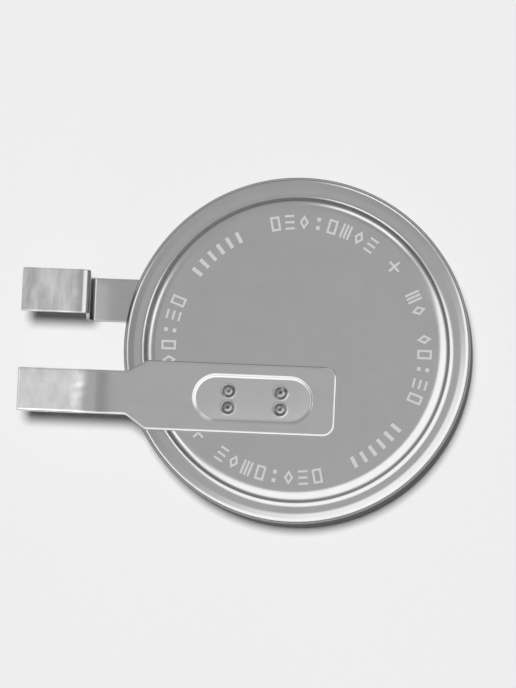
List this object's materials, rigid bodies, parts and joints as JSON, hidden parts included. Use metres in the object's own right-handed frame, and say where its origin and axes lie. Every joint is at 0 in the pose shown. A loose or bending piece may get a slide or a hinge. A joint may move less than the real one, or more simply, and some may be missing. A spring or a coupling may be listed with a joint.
{
  "type": "tabbed lithium coin cell",
  "caption": "Round crimped steel coin cell, raised positive face up, with a flat strip solder tab welded to each pole; the tabs end side by side at one level.",
  "frame": {"origin": "on the cell's axis, in the plane of the flat negative face", "axes": "+Z along the cell's axis, out of the raised positive face; both tabs leave towards -X, the positive tab on the -Y side"},
  "size_m": [0.026, 0.02, 0.0054],
  "materials": {
    "can_steel": "satin nickel-plated steel",
    "cap_steel": "satin stainless steel",
    "gasket_plastic": "matt moulded heat-resistant plastic",
    "cathode_mix": "matt pressed black powder",
    "ring_steel": "bright stainless steel",
    "separator_fibre": "white non-woven fibre",
    "lithium": "dull silvery metal",
    "tab_steel": "nickel-plated strip with tinned ends"
  },
  "bodies": {
    "root": {"positive_can": "can_steel", "negative_cap": "cap_steel", "gasket": "gasket_plastic", "cathode_pellet": "cathode_mix", "cathode_ring": "ring_steel", "separator": "separator_fibre", "lithium_anode": "lithium", "positive_tab": "tab_steel", "negative_tab": "tab_steel"}
  },
  "joints": []
}
